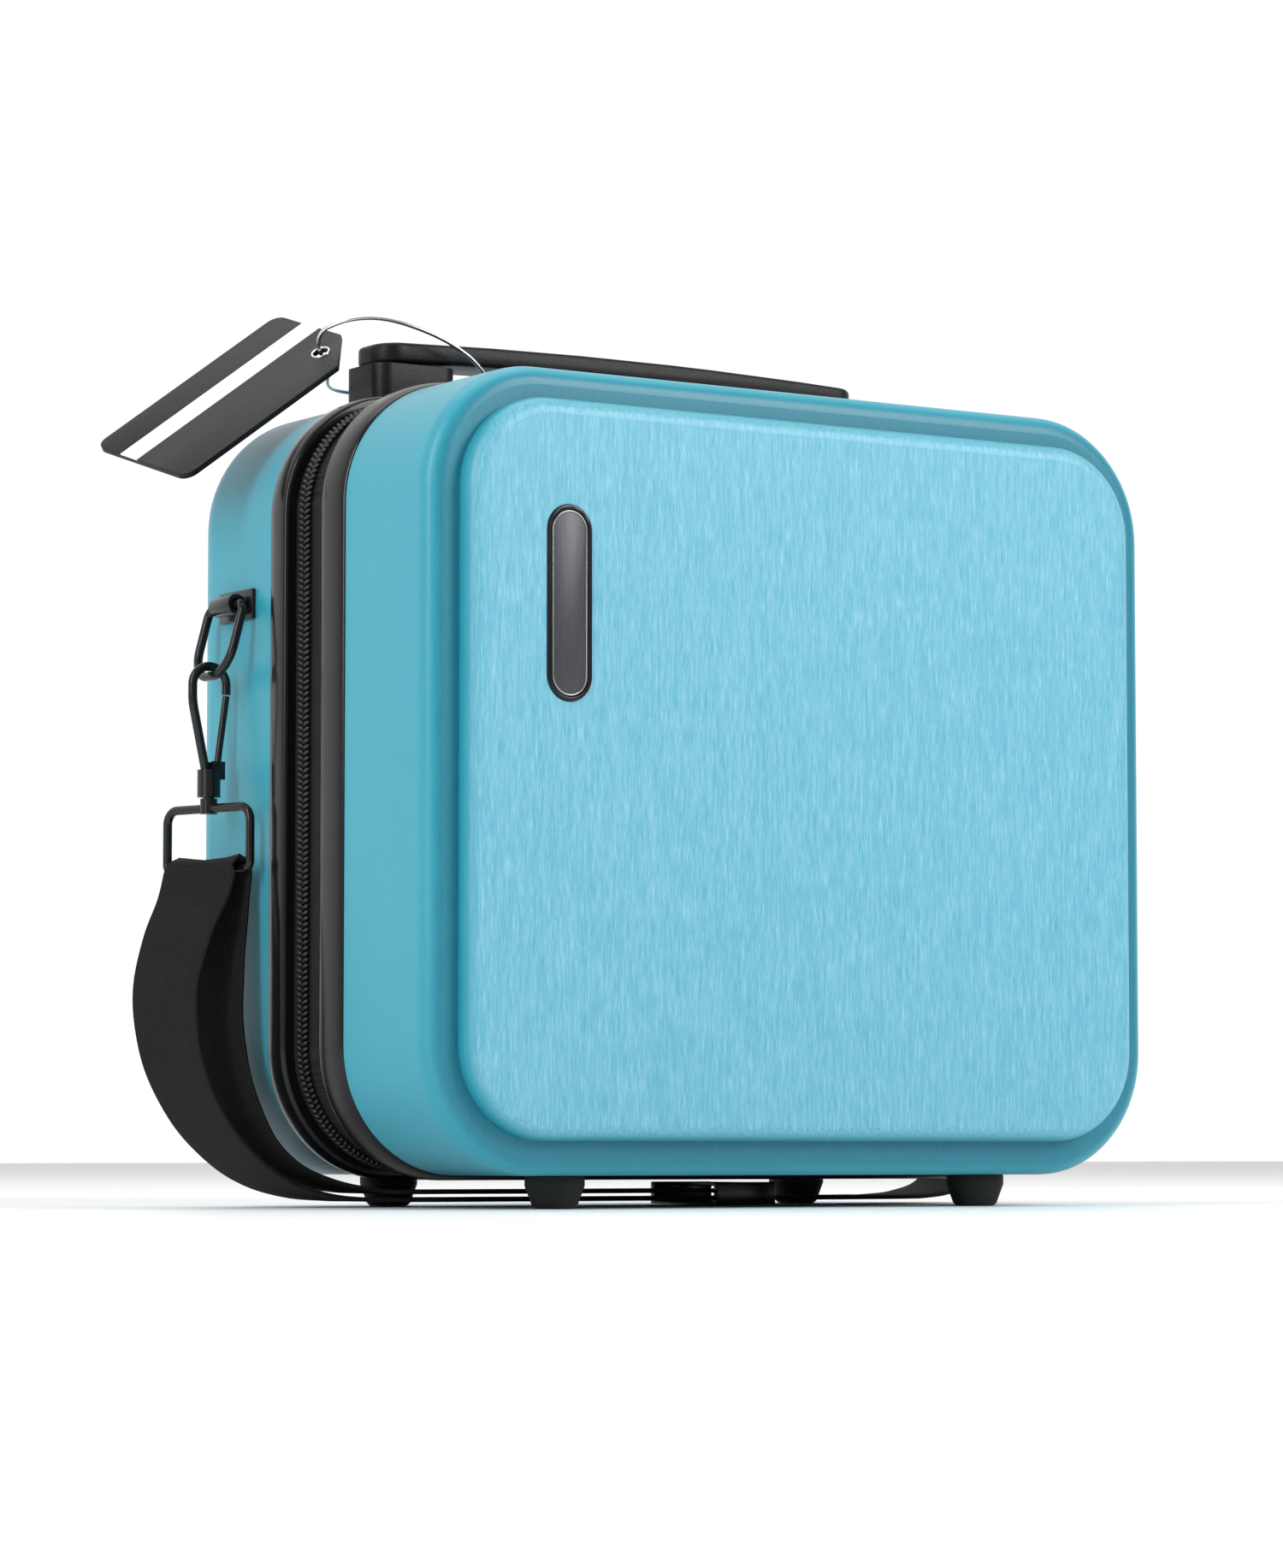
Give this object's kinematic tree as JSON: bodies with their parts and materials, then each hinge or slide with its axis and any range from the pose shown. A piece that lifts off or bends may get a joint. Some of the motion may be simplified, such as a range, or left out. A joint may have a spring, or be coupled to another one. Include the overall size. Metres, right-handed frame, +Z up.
{
  "type": "cable organizer pouch",
  "caption": "Small hard-shell zipped travel case with carry handle, shoulder strap and luggage tag, laid out inside with elastic bands and a net pocket to hold cables and chargers.",
  "frame": {"origin": "on the floor under the middle of the case's body, at the level of the feet", "axes": "+Z up, -Y out of the front panel (lid side), +X to the right seen from the front"},
  "size_m": [0.3719, 0.1826, 0.3309],
  "materials": {
    "shell": "satin brushed texture",
    "frame_strip": "gloss",
    "zip_tape": "woven",
    "zip_teeth": "satin coil",
    "lining": "woven polyester",
    "elastic": "ribbed elastic",
    "net": "net",
    "black_plastic": "satin",
    "badge_metal": "satin",
    "rubber": "matte",
    "screw_steel": "zinc plated",
    "black_metal": "satin black",
    "bright_metal": "polished",
    "webbing": "woven webbing",
    "tag_paper": "smooth white"
  },
  "bodies": {
    "base": {"back_shell": "shell", "back_lining": "lining", "back_frame_strip": "frame_strip", "back_zip_tape": "zip_tape", "back_zip_teeth": "zip_teeth", "hinge_strip": "zip_tape", "foot_rear_left": "rubber", "foot_rear_right": "rubber", "foot_screw_rear_left": "screw_steel", "foot_screw_rear_right": "screw_steel", "handle_mount_left": "black_plastic", "handle_mount_right": "black_plastic", "handle_screws": "screw_steel", "strap_lug_left": "black_metal", "strap_lug_right": "black_metal", "lug_rivets": "black_metal", "shoulder_strap": "webbing", "tag_wire": "bright_metal", "tag_wire_clasp": "bright_metal", "organiser_board": "lining", "elastic_bands_upper": "elastic", "elastic_bands_lower": "elastic"},
    "lid": {"front_shell": "shell", "front_lining": "lining", "front_frame_strip": "frame_strip", "front_zip_tape": "zip_tape", "front_zip_teeth": "zip_teeth", "badge_surround": "black_plastic", "badge_plate": "badge_metal", "foot_front_left": "rubber", "foot_front_right": "rubber", "foot_screw_front_left": "screw_steel", "foot_screw_front_right": "screw_steel", "net_pocket": "net", "pocket_zip": "zip_tape"},
    "handle": {"carry_handle": "black_plastic"},
    "slider_left": {"zip_slider_left": "black_metal"},
    "slider_right": {"zip_slider_right": "black_metal"},
    "pull_left": {"zip_pull_left": "black_metal"},
    "pull_right": {"zip_pull_right": "bright_metal"},
    "pocket_slider": {"pocket_slider": "black_metal"},
    "pocket_pull": {"pocket_pull": "black_metal"},
    "d_ring_left": {"d_ring_left": "black_metal"},
    "d_ring_right": {"d_ring_right": "black_metal"},
    "strap_ring_left": {"strap_ring_left": "black_metal"},
    "strap_ring_right": {"strap_ring_right": "black_metal"},
    "hook_left": {"snap_hook_left": "black_metal"},
    "hook_right": {"snap_hook_right": "black_metal"},
    "gate_left": {"hook_gate_left": "black_metal"},
    "gate_right": {"hook_gate_right": "black_metal"},
    "adjuster": {"strap_adjuster": "black_plastic"},
    "tag": {"tag_holder": "black_plastic", "tag_strip": "tag_paper"}
  },
  "joints": [
    {"name": "lid_hinge", "type": "hinge", "parent": "base", "child": "lid", "pos_m": [0, 0.012, 0.0122], "axis": [1, 0, 0], "range_deg": [0, 100]},
    {"name": "handle_lift", "type": "slide", "parent": "base", "child": "handle", "axis": [0, 0, 1], "range_m": [0, 0.009]},
    {"name": "zip_left", "type": "slide", "parent": "base", "child": "slider_left", "axis": [1, 0, 0], "range_m": [-0.07, 0]},
    {"name": "zip_right", "type": "slide", "parent": "base", "child": "slider_right", "axis": [1, 0, 0], "range_m": [0, 0.07]},
    {"name": "pull_left_flip", "type": "hinge", "parent": "slider_left", "child": "pull_left", "pos_m": [-0.011, 0.012, 0.2947], "axis": [0, 1, 0], "range_deg": [0, 150]},
    {"name": "pull_right_flip", "type": "hinge", "parent": "slider_right", "child": "pull_right", "pos_m": [0.011, 0.012, 0.2947], "axis": [0, -1, 0], "range_deg": [0, 150]},
    {"name": "pocket_zip_slide", "type": "slide", "parent": "lid", "child": "pocket_slider", "axis": [1, 0, 0], "range_m": [0, 0.22]},
    {"name": "pocket_pull_flip", "type": "hinge", "parent": "pocket_slider", "child": "pocket_pull", "pos_m": [-0.112, -0.0635, 0.1975], "axis": [1, 0, 0], "range_deg": [0, 80]},
    {"name": "adjuster_slide", "type": "slide", "parent": "base", "child": "adjuster", "axis": [1, 0, 0], "range_m": [-0.06, 0]},
    {"name": "tag_swing", "type": "hinge", "parent": "base", "child": "tag", "pos_m": [-0.122, 0.056, 0.312], "axis": [0.5592, 0.3643, -0.7447], "range_deg": [0, 40]},
    {"name": "strap_swing_left", "type": "hinge", "parent": "base", "child": "strap_ring_left", "pos_m": [-0.16, 0.057, 0.217], "axis": [0, 1, 0], "range_deg": [0, 20], "deforming": ["shoulder_strap"]},
    {"name": "d_ring_swing_left", "type": "hinge", "parent": "base", "child": "d_ring_left", "pos_m": [-0.16, 0.057, 0.217], "axis": [0, 1, 0], "range_deg": [0, 20]},
    {"name": "swivel_left", "type": "hinge", "parent": "strap_ring_left", "child": "hook_left", "pos_m": [-0.167, 0.057, 0.15], "axis": [0, 0, 1], "range_deg": [-35, 35]},
    {"name": "gate_left", "type": "hinge", "parent": "hook_left", "child": "gate_left", "pos_m": [-0.1638, 0.057, 0.15807], "axis": [0, -1, 0], "range_deg": [0, 18], "stiffness_Nm_per_rad": 0.02, "springref_deg": -17.19},
    {"name": "strap_swing_right", "type": "hinge", "parent": "base", "child": "strap_ring_right", "pos_m": [0.16, 0.057, 0.217], "axis": [0, -1, 0], "range_deg": [0, 20]},
    {"name": "d_ring_swing_right", "type": "hinge", "parent": "base", "child": "d_ring_right", "pos_m": [0.16, 0.057, 0.217], "axis": [0, -1, 0], "range_deg": [0, 20]},
    {"name": "swivel_right", "type": "hinge", "parent": "strap_ring_right", "child": "hook_right", "pos_m": [0.167, 0.057, 0.15], "axis": [0, 0, 1], "range_deg": [-35, 35]},
    {"name": "gate_right", "type": "hinge", "parent": "hook_right", "child": "gate_right", "pos_m": [0.1638, 0.057, 0.15807], "axis": [0, 1, 0], "range_deg": [0, 18], "stiffness_Nm_per_rad": 0.02, "springref_deg": -17.19}
  ],
  "couplings": [
    {"joint": "d_ring_swing_left", "follows": "strap_swing_left", "ratio": 1},
    {"joint": "d_ring_swing_right", "follows": "strap_swing_right", "ratio": 1}
  ]
}
